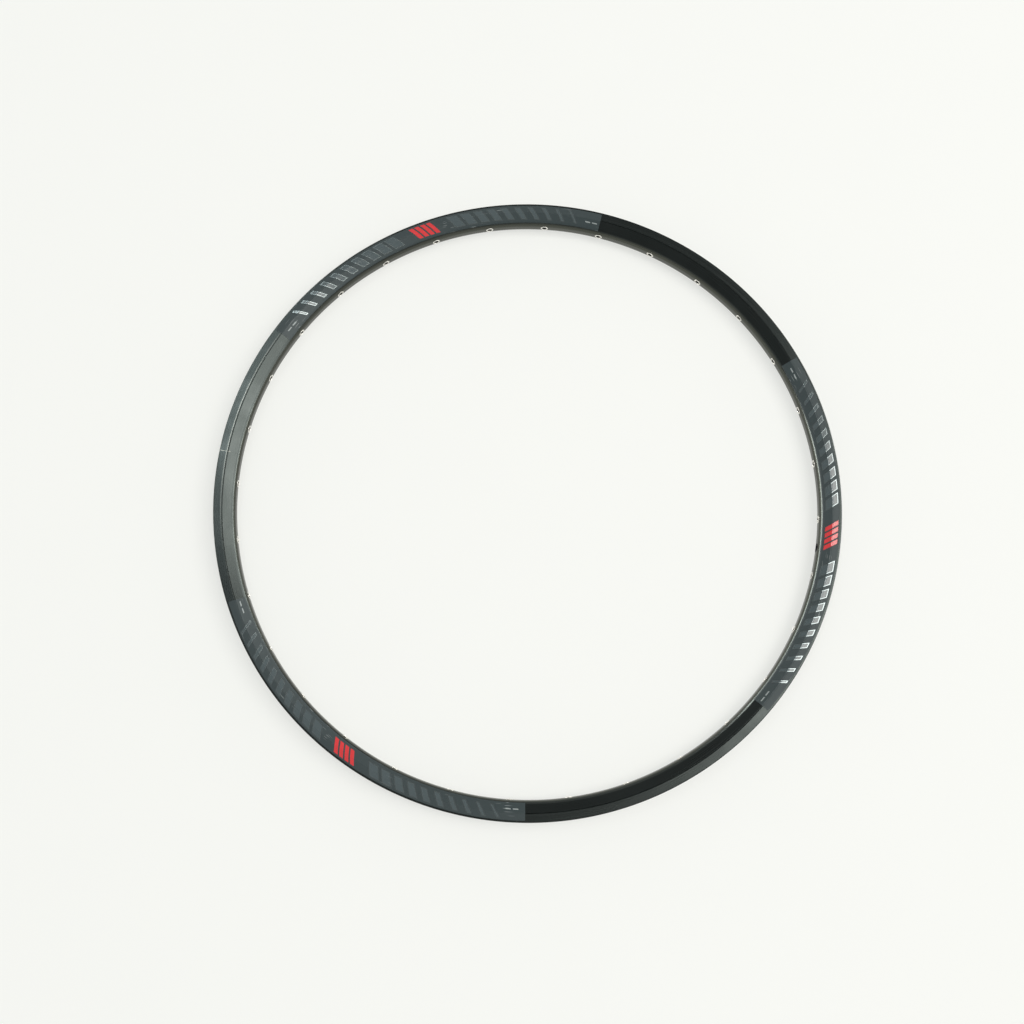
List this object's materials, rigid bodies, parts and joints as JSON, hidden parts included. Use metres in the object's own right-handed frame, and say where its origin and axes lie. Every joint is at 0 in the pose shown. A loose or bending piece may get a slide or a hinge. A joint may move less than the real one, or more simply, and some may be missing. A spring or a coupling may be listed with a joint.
{
  "type": "bicycle rim",
  "caption": "Black double-wall bicycle rim with hooked tyre flanges, eyeleted spoke holes, a valve hole, a sleeved joint and charcoal film decals on one side.",
  "frame": {"origin": "wheel's centre, midway between the two sides", "axes": "+Z along the wheel's axis, out of the side that carries the decals; +X through the valve hole; the hoop's joint is on -X"},
  "size_m": [0.596, 0.5958, 0.0252],
  "materials": {
    "anodised_aluminium": "satin black anodised",
    "plated_steel": "bright nickel plated",
    "mill_aluminium": "bare extruded",
    "printed_film": "satin printed film"
  },
  "bodies": {
    "root": {"rim_hoop": "anodised_aluminium", "spoke_eyelets": "plated_steel", "joint_sleeve": "mill_aluminium", "decal_film_1": "printed_film", "decal_film_2": "printed_film", "decal_film_3": "printed_film"}
  },
  "joints": []
}
